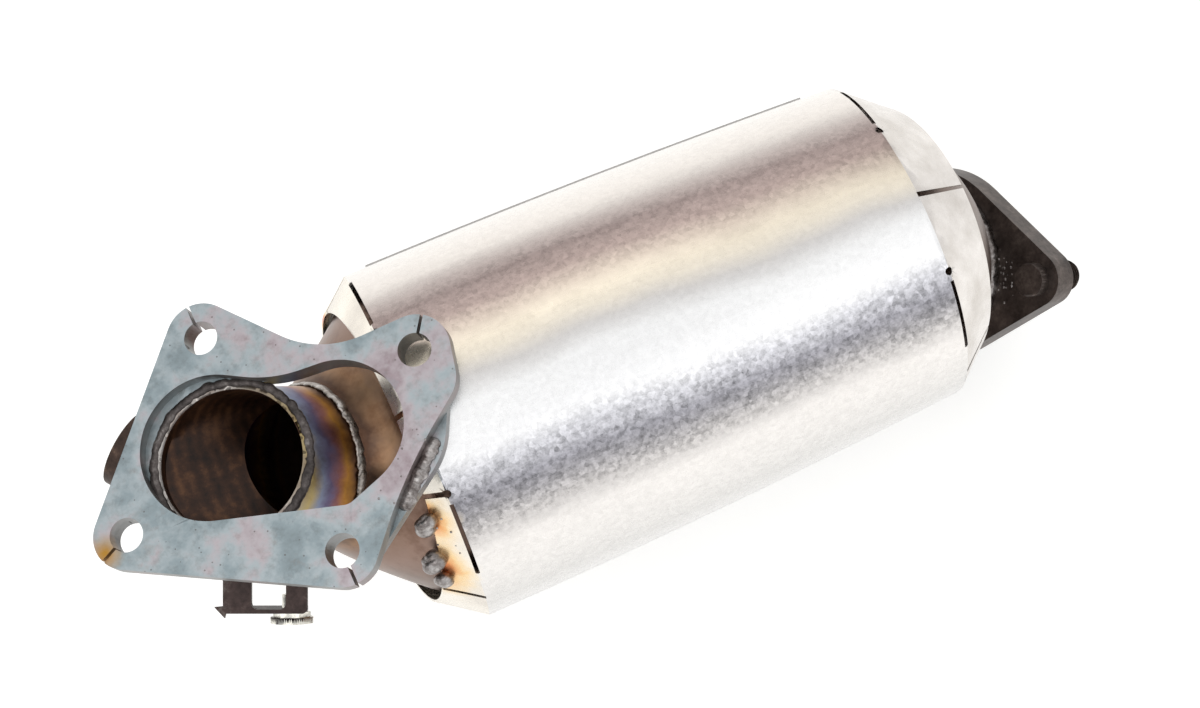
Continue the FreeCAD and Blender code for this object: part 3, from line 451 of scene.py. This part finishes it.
def dress(name, node_name, material, slot, crease=32.0):
    """A smooth-shaded copy of a solid's mesh, its loose triangles merged, that replaces it."""
    source = frame["nodes"][node_name]
    piece = source.copy()
    piece.data = source.data.copy()
    bpy.context.scene.collection.objects.link(piece)
    only(piece)
    bpy.ops.object.mode_set(mode="EDIT")
    bpy.ops.mesh.select_all(action="SELECT")
    bpy.ops.mesh.remove_doubles(threshold=0.002 * MM)
    bpy.ops.object.mode_set(mode="OBJECT")
    bpy.ops.object.shade_smooth_by_angle(angle=math.radians(crease))
    flat = piece.modifiers.new("flat_faces", "WEIGHTED_NORMAL")
    flat.keep_sharp = True
    bpy.ops.object.modifier_apply(modifier=flat.name)
    return settle(piece, name, material, slot, node_name)


def lump(radius, scale, segments=14, rings=9):
    """One rounded drop of weld, shaped at the origin."""
    bpy.ops.object.select_all(action="DESELECT")
    bpy.ops.mesh.primitive_uv_sphere_add(segments=segments, ring_count=rings, radius=radius,
                                         scale=scale)
    drop = bpy.context.active_object
    bpy.ops.object.transform_apply(location=False, rotation=False, scale=True)
    bpy.ops.object.shade_smooth()
    return drop


def lay(name, drop, places, material, slot, *nodes, voxel=0.0):
    """Joins a copy of a drop at each place into one piece; a voxel size melts them together."""
    copies = []
    for place in places:
        copy = drop.copy()
        copy.data = drop.data.copy()
        bpy.context.scene.collection.objects.link(copy)
        copy.matrix_world = place
        copies.append(copy)
    bpy.data.objects.remove(drop)
    only(*copies)
    bpy.ops.object.join()
    bpy.ops.object.transform_apply(location=True, rotation=True, scale=True)
    piece = bpy.context.active_object
    if voxel:
        melt = piece.modifiers.new("melt", "REMESH")
        melt.voxel_size = voxel
        melt.use_smooth_shade = True
        bpy.ops.object.modifier_apply(modifier=melt.name)
        ease = piece.modifiers.new("ease", "SMOOTH")
        ease.iterations = 4
        bpy.ops.object.modifier_apply(modifier=ease.name)
    return settle(piece, name, material, slot, *nodes)


def ripple_ring(centre, turn, radius, count, draw):
    """Places for overlapping ripples round a ring, each a little out of line."""
    places = []
    for i in range(count):
        angle = math.radians(360.0 * i / count)
        wobble = draw.uniform(-0.25, 0.25) * MM
        spot = Vector(((radius + wobble) * math.cos(angle),
                       (radius + wobble) * math.sin(angle), draw.uniform(-0.3, 0.3) * MM))
        local = (Matrix.Translation(spot) @ Matrix.Rotation(angle, 4, "Z")
                 @ Matrix.Rotation(math.radians(draw.uniform(-7, 7)), 4, "X")
                 @ Matrix.Scale(draw.uniform(0.85, 1.12), 4))
        places.append(Matrix.Translation(centre) @ turn @ local)
    return places


def scatter(name, surface, centre, spread, count, direction, material, seed, sizes):
    """Weld spatter: small balls dropped on to a surface round a centre."""
    draw = random.Random(seed)
    way = Vector(direction).normalized()
    places = []
    while len(places) < count:
        offset = Vector([draw.gauss(0, s * MM) for s in spread])
        hit, spot = surface.ray_cast(Vector(centre) + offset - way * THROW, way)[:2]
        size = draw.uniform(*sizes)
        if hit:
            places.append(Matrix.Translation(spot) @ Matrix.Scale(size, 4))
        else:
            count -= 1  # a ball that misses the surface isn't thrown again
    return lay(name, lump(MM, (1, 1, 0.8), 10, 6), places, material, "weld_metal")


# ------------------------------------------------------------------- operators
class FinishPlates(bpy.types.Operator):
    """Zinc finish on the inlet flange's two plates"""
    bl_idname = "converter.plates"
    bl_label = "Inlet plates"

    def execute(self, context):
        zinc = zinc_plate(context.scene.converter_metal)
        dress("gasket_plate", "inlet_flange", zinc, "zinc_plate")
        dress("backing_plate", "inlet_flange_backing", zinc, "zinc_plate")
        return {"FINISHED"}


class FinishTubes(bpy.types.Operator):
    """Heat-tinted elbow, cones and can, and the sensor boss"""
    bl_idname = "converter.tubes"
    bl_label = "Elbow and cones"

    def execute(self, context):
        tinted = tinted_tube()
        for name, node_name in (("elbow_tube", "inlet_elbow"), ("inlet_pressing", "inlet_cone"),
                                ("outlet_boot", "outlet_cone"), ("can", "can_shell")):
            dress(name, node_name, tinted, "tinted_steel", 40.0)
        brown = scaled_steel("steel_boss_scaled", "#2A1F1A", "#4A382F", "#8E7563", 0.5)
        dress("sensor_boss", "sensor_bung", brown, "scaled_steel")
        return {"FINISHED"}


class LineElbow(bpy.types.Operator):
    """Dark brown skin inside the elbow"""
    bl_idname = "converter.lining"
    bl_label = "Elbow lining"

    def execute(self, context):
        skin = TUBE_R - TUBE_WALL - 0.05 * MM
        top = on_flange(*RIM)
        bend = on_flange(*BEND)
        bpy.ops.object.select_all(action="DESELECT")
        bpy.ops.mesh.primitive_circle_add(vertices=96, radius=skin, location=top,
                                          rotation=(0, -FLANGE_TILT, 0))
        piece = bpy.context.active_object
        bpy.ops.object.transform_apply(location=True, rotation=True, scale=True)
        bpy.ops.object.mode_set(mode="EDIT")
        bpy.ops.mesh.select_all(action="SELECT")
        bpy.ops.mesh.extrude_region_move(TRANSFORM_OT_translate={"value": bend - top})
        turn = ELBOW_DIP - (math.radians(90) - FLANGE_TILT)
        steps = 6
        at = bend
        for step in range(steps):
            goal = bend.lerp(JOINT, (step + 1) / steps)
            bpy.ops.mesh.extrude_region_move(TRANSFORM_OT_translate={"value": goal - at})
            bpy.ops.transform.rotate(value=turn / steps, orient_axis="Y",
                                     center_override=tuple(goal))
            at = goal
        bpy.ops.object.mode_set(mode="OBJECT")
        wall = piece.modifiers.new("skin", "SOLIDIFY")
        wall.thickness = 0.15 * MM
        wall.offset = 0
        bpy.ops.object.modifier_apply(modifier="skin")
        bpy.ops.object.mode_set(mode="EDIT")
        bpy.ops.mesh.select_all(action="SELECT")
        bpy.ops.mesh.normals_make_consistent(inside=False)
        bpy.ops.object.mode_set(mode="OBJECT")
        bpy.ops.object.shade_smooth_by_angle(angle=math.radians(40))
        settle(piece, "elbow_lining", dark_brown_lining(), "tinted_steel")
        return {"FINISHED"}


class FinishShield(bpy.types.Operator):
    """Bright rolled shield with its folded tabs"""
    bl_idname = "converter.shield"
    bl_label = "Heat shield"

    def execute(self, context):
        sheet = aluminised_sheet(context.scene.converter_metal)
        dress("shield_sheet", "heat_shield", sheet, "aluminised_sheet", 25.0)
        return {"FINISHED"}


class FinishOutlet(bpy.types.Operator):
    """Dark outlet flange, its pipe and its two studs"""
    bl_idname = "converter.outlet"
    bl_label = "Outlet flange"

    def execute(self, context):
        scale = scaled_steel("steel_flange_scaled", "#3A322F", "#5B514C", "#877C75", 0.42)
        for name, node_name in (("outlet_plate", "outlet_flange"), ("outlet_stub", "outlet_pipe"),
                                ("upper_stud", "outlet_stud_upper"),
                                ("lower_stud", "outlet_stud_lower")):
            dress(name, node_name, scale, "scaled_steel")
        return {"FINISHED"}


class CutThreads(bpy.types.Operator):
    """Threads on the two outlet studs"""
    bl_idname = "converter.threads"
    bl_label = "Stud threads"

    def execute(self, context):
        worn = scaled_steel("steel_thread_rubbed", "#2A2422", "#5A5049", "#9A8E84", 0.38)
        pitch, core, crest, turns = 1.25 * MM, 4.86 * MM, 5.0 * MM, 7
        for name, side in (("upper_thread", -1), ("lower_thread", 1)):
            bpy.ops.object.select_all(action="DESELECT")
            bpy.ops.mesh.primitive_circle_add(vertices=3, radius=0.42 * pitch,
                                              rotation=(math.radians(90), 0, 0),
                                              location=(core + (crest - core) * 0.4, 0, 0))
            piece = bpy.context.active_object
            bpy.ops.object.transform_apply(location=True, rotation=True, scale=True)
            screw = piece.modifiers.new("helix", "SCREW")
            screw.axis = "Z"
            screw.screw_offset = pitch
            screw.iterations = turns
            screw.steps = screw.render_steps = 40
            bpy.ops.object.modifier_apply(modifier="helix")
            ear = Vector((EAR_REACH * math.cos(EAR_CLOCK) * side,
                          EAR_REACH * math.sin(EAR_CLOCK) * side, THREAD_START))
            piece.matrix_world = Matrix.Translation(OUTLET) @ OUTLET_TURN @ Matrix.Translation(ear)
            only(piece)
            bpy.ops.object.transform_apply(location=True, rotation=True, scale=True)
            bpy.ops.object.mode_set(mode="EDIT")
            bpy.ops.mesh.select_all(action="SELECT")
            bpy.ops.mesh.remove_doubles(threshold=0.001 * MM)
            bpy.ops.mesh.select_all(action="DESELECT")
            bpy.ops.mesh.select_non_manifold()
            bpy.ops.mesh.edge_face_add()
            bpy.ops.mesh.select_all(action="SELECT")
            bpy.ops.mesh.normals_make_consistent(inside=False)
            bpy.ops.object.mode_set(mode="OBJECT")
            bpy.ops.object.shade_smooth_by_angle(angle=math.radians(30))
            settle(piece, name, worn, "scaled_steel")
        return {"FINISHED"}


class LayWelds(bpy.types.Operator):
    """Rippled beads in place of the plain weld rings, and lumpy tacks"""
    bl_idname = "converter.welds"
    bl_label = "Welds"

    def execute(self, context):
        weld = weld_metal(LAID_WELD, "#4B423D", "#8A8482", "#CFCCCA")
        pale = weld_metal("steel_weld_brushed", "#7D746C", "#A8A19B", "#DAD7D4")
        draw = random.Random(11)
        # the rim bead gets a darker weld finish than the other beads, brown-black to pale grey
        dark_weld = scaled_steel("steel_weld_dark", "#1F1A18", "#5C5553", "#B7B2AE", 0.3)
        lay("rim_bead", lump(1.4 * MM, (1.1, 1.55, 0.8)),
            ripple_ring(on_flange(*RIM), FLANGE_TURN, TUBE_R + 0.5 * MM, 84, draw),
            dark_weld, "weld_metal", "elbow_rim_weld", voxel=0.3 * MM)
        lay("neck_bead", lump(1.1 * MM, (0.7, 1.4, 1.6)),
            ripple_ring(JOINT, JOINT_TURN, TUBE_R + 0.5 * MM, 96, draw),
            pale, "weld_metal", "elbow_ring_weld", voxel=0.3 * MM)
        lay("outlet_bead", lump(2.7 * MM, (0.9, 0.95, 1.1)),
            ripple_ring(OUTLET + OUTLET_TURN @ Vector((0, 0, -OUTLET_BEAD_BACK)), OUTLET_TURN,
                        OUTLET_BEAD_R, 70, draw),
            weld, "weld_metal", "outlet_flange_weld", voxel=0.4 * MM)
        run = []
        for i in range(11):
            spot = on_flange(EDGE_RUN[0] + EDGE_STEP * i * math.cos(math.radians(EDGE_CLOCK)),
                             EDGE_RUN[1] + EDGE_STEP * i * math.sin(math.radians(EDGE_CLOCK)),
                             EDGE_DEPTH + draw.uniform(-0.5, 0.5))
            slant = math.radians(EDGE_CLOCK + draw.uniform(-15, 15))
            run.append(Matrix.Translation(spot) @ FLANGE_TURN @ Matrix.Rotation(slant, 4, "Z")
                       @ Matrix.Scale(draw.uniform(0.75, 1.15), 4))
        lay("edge_bead", lump(2.6 * MM, (0.75, 1.0, 0.8)), run, weld, "weld_metal",
            "flange_edge_weld", voxel=0.25 * MM)
        for number, centre in enumerate(TACKS, start=1):
            places = []
            for i in range(6):
                offset = Vector([draw.uniform(-1.5, 1.5) * MM for axis in range(3)])
                places.append(Matrix.Translation(Vector(centre) + offset)
                              @ Matrix.Rotation(draw.uniform(0, 3), 4, "Y")
                              @ Matrix.Scale(draw.uniform(0.6, 1.0), 4))
            lay("tack_bead_%d" % number, lump(3.6 * MM, (1.0, 0.8, 0.9), 20, 12), places, weld,
                "weld_metal", "shield_tack_weld_%d" % number, voxel=0.25 * MM)
        for name, node_name in (("inlet_can_bead", "inlet_shell_weld"),
                                ("outlet_can_bead", "outlet_shell_weld")):
            dress(name, node_name, weld, "weld_metal")
        return {"FINISHED"}


class ThrowSpatter(bpy.types.Operator):
    """Weld spatter on the flange, the tabs and the outlet"""
    bl_idname = "converter.spatter"
    bl_label = "Weld spatter"

    def execute(self, context):
        weld = bpy.data.materials[LAID_WELD]
        pieces = bpy.data.objects
        down = tuple(FLANGE_TURN @ Vector((0, 0, -1)))
        scatter("flange_spatter", pieces["gasket_plate"], on_flange(36, -22, 0), (7, 8, 0), 26,
                down, weld, 3, (0.15, 0.45))
        scatter("band_spatter", pieces["backing_plate"], on_flange(42, -25, 0), (7, 7, 0), 22,
                down, weld, 4, (0.25, 0.7))
        scatter("tab_spatter", pieces["shield_sheet"], (0.036, -0.042, -0.02), (5, 6, 0), 14,
                (0, 0, -1), weld, 5, (0.2, 0.5))
        back = tuple(OUTLET_TURN @ Vector((0, 0, 1)))
        spot = OUTLET + OUTLET_TURN @ Vector((-24 * MM, -19 * MM, 0))
        scatter("outlet_spatter", pieces["outlet_plate"], spot, (2.6, 4.5, 2.6), 34, back, weld,
                6, (0.2, 0.6))
        return {"FINISHED"}


class FinishBracket(bpy.types.Operator):
    """Scaled strap with a bright screw and nut"""
    bl_idname = "converter.bracket"
    bl_label = "Bracket"

    def execute(self, context):
        strap = scaled_steel("steel_strap_scaled", "#2B1F1D", "#4A3B38", "#8F8B84", 0.5)
        dress("strap", "mount_bracket", strap, "scaled_steel")
        bright = bright_zinc()
        dress("strap_screw", "bracket_screw", bright, "zinc_plate")
        dress("strap_nut", "bracket_nut", bright, "zinc_plate")
        return {"FINISHED"}


class FinishInside(bpy.types.Operator):
    """Mat, brick and blanket inside the can and the shield"""
    bl_idname = "converter.inside"
    bl_label = "Inside"

    def execute(self, context):
        fibre = mineral_fibre()
        dress("wrap_mat", "support_mat", fibre, "fibre_mat")
        dress("blanket", "insulation_blanket", fibre, "fibre_mat")
        dress("brick", "catalyst_brick", honeycomb(), "ceramic_brick")
        return {"FINISHED"}


class SetStage(bpy.types.Operator):
    """Pale floor, soft studio light and the camera"""
    bl_idname = "converter.stage"
    bl_label = "Stage"

    def execute(self, context):
        settings = context.scene.converter_stage
        floor_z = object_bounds()[0][2] - FLOOR_GAP
        bpy.ops.object.select_all(action="DESELECT")
        bpy.ops.mesh.primitive_plane_add(size=6.0, location=(MIDDLE_X, 0, floor_z))
        floor = context.active_object
        floor.name = "studio_floor"
        made, tree, shader = new_material("matt_white_paper", 0.0, 0.9)[:3]
        shader.inputs["Base Color"].default_value = linear("#F4F4F2")
        shader.inputs["Specular IOR Level"].default_value = 0.1
        rays = node(tree, "ShaderNodeLightPath").outputs
        seen = math_node(tree, "MAXIMUM", rays["Is Camera Ray"], rays["Is Glossy Ray"])
        seen = math_node(tree, "MAXIMUM", seen, rays["Is Transmission Ray"])
        tree.links.new(math_node(tree, "MULTIPLY", seen, settings.floor_lift),
                       shader.inputs["Emission Strength"])
        shader.inputs["Emission Color"].default_value = (1, 1, 1, 1)
        floor.data.materials.append(made)
        floor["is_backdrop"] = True

        world = bpy.data.worlds.new("soft_studio")
        context.scene.world = world
        world.use_nodes = True
        tree = world.node_tree
        rays = node(tree, "ShaderNodeLightPath").outputs
        white = math_node(tree, "MAXIMUM", rays["Is Camera Ray"], rays["Is Transmission Ray"])
        glossy = math_node(tree, "MULTIPLY", rays["Is Glossy Ray"], settings.glossy_level)
        seen = math_node(tree, "MAXIMUM", white, glossy)
        strength = math_node(tree, "MAXIMUM", seen, settings.world_level)
        back = tree.nodes["Background"]
        back.inputs["Color"].default_value = (1, 1, 1, 1)
        tree.links.new(strength, back.inputs["Strength"])

        lamps = (("key", (-0.55, -0.35, 1.15), 0.9, settings.key_power),
                 ("fill", (0.75, -0.9, 0.8), 1.2, settings.key_power * 0.35),
                 ("rim", (0.3, 1.0, 0.9), 0.8, settings.key_power * 0.4))
        for name, place, size, power in lamps:
            bpy.ops.object.light_add(type="AREA", location=place)
            lamp = context.active_object
            lamp.name = name + "_softbox"
            lamp.data.size = size
            lamp.data.energy = power
            aim = Vector((MIDDLE_X, 0, CAN_AXIS_Z)) - lamp.location
            lamp.rotation_euler = aim.to_track_quat("-Z", "Y").to_euler()

        bpy.ops.object.camera_add()
        camera = context.active_object
        camera.data.lens = settings.lens
        camera.data.sensor_width = 36.0
        turn, lift = math.radians(settings.azimuth), math.radians(settings.elevation)
        right = Vector((math.cos(turn), math.sin(turn), 0))
        back = Vector((math.sin(turn) * math.cos(lift), -math.cos(turn) * math.cos(lift),
                       math.sin(lift)))
        pose = Matrix((right, back.cross(right), back)).transposed().to_4x4()
        pose.translation = Vector(settings.camera_place)
        camera.matrix_world = pose
        context.scene.camera = camera
        context.scene.view_settings.view_transform = "Standard"
        return {"FINISHED"}


# ------------------------------------------------------------ settings and panel
class MetalSettings(bpy.types.PropertyGroup):
    sheet_roughness: bpy.props.FloatProperty(
        name="Shield roughness", description="Least roughness of the bright sheet",
        default=0.2, min=0.0, max=1.0, subtype="FACTOR")
    plate_roughness: bpy.props.FloatProperty(
        name="Plate roughness", description="Least roughness of the zinc plates",
        default=0.28, min=0.0, max=1.0, subtype="FACTOR")


class StageSettings(bpy.types.PropertyGroup):
    azimuth: bpy.props.FloatProperty(
        name="Azimuth", description="Camera's turn about the upright axis, in degrees",
        default=-24.43)
    elevation: bpy.props.FloatProperty(
        name="Elevation", description="Camera's height above the horizon, in degrees",
        default=71.0)
    lens: bpy.props.FloatProperty(
        name="Lens", description="Focal length in mm on a 36 mm sensor", default=72.0)
    camera_place: bpy.props.FloatVectorProperty(
        name="Camera place", description="Where the camera stands",
        default=(0.0035, -0.2306, 0.6868), subtype="TRANSLATION", unit="LENGTH")
    key_power: bpy.props.FloatProperty(
        name="Key power", description="Power of the main softbox", default=2.6, unit="POWER")
    world_level: bpy.props.FloatProperty(
        name="World level", description="Strength of the even light all round", default=0.8)
    glossy_level: bpy.props.FloatProperty(
        name="Mirrored level", description="Brightness of the room in mirror-like metal",
        default=0.92)
    floor_lift: bpy.props.FloatProperty(
        name="Floor lift", description="Glow that keeps the floor white in view", default=0.38)


STEPS = (SetStage, FinishPlates, FinishTubes, LineElbow, FinishShield, FinishOutlet, CutThreads,
         LayWelds, ThrowSpatter, FinishBracket, FinishInside)


class ConverterPanel(bpy.types.Panel):
    """Lists the steps that dress the converter"""
    bl_idname = "VIEW3D_PT_converter"
    bl_label = "Catalytic converter"
    bl_space_type = "VIEW_3D"
    bl_region_type = "UI"
    bl_category = "Converter"

    def draw(self, context):
        for settings in (context.scene.converter_metal, context.scene.converter_stage):
            for key in settings.__annotations__:
                self.layout.prop(settings, key)
        for step in STEPS:
            self.layout.operator(step.bl_idname)


CLASSES = (MetalSettings, StageSettings) + STEPS + (ConverterPanel,)


def register():
    for item in CLASSES:
        bpy.utils.register_class(item)
    bpy.types.Scene.converter_metal = bpy.props.PointerProperty(type=MetalSettings)
    bpy.types.Scene.converter_stage = bpy.props.PointerProperty(type=StageSettings)


def unregister():
    del bpy.types.Scene.converter_metal
    del bpy.types.Scene.converter_stage
    for item in reversed(CLASSES):
        bpy.utils.unregister_class(item)


def main():
    """Builds everything in order."""
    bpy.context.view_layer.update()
    register()
    for step in STEPS:
        group, name = step.bl_idname.split(".")
        getattr(getattr(bpy.ops, group), name)()


if __name__ == "__main__":
    main()
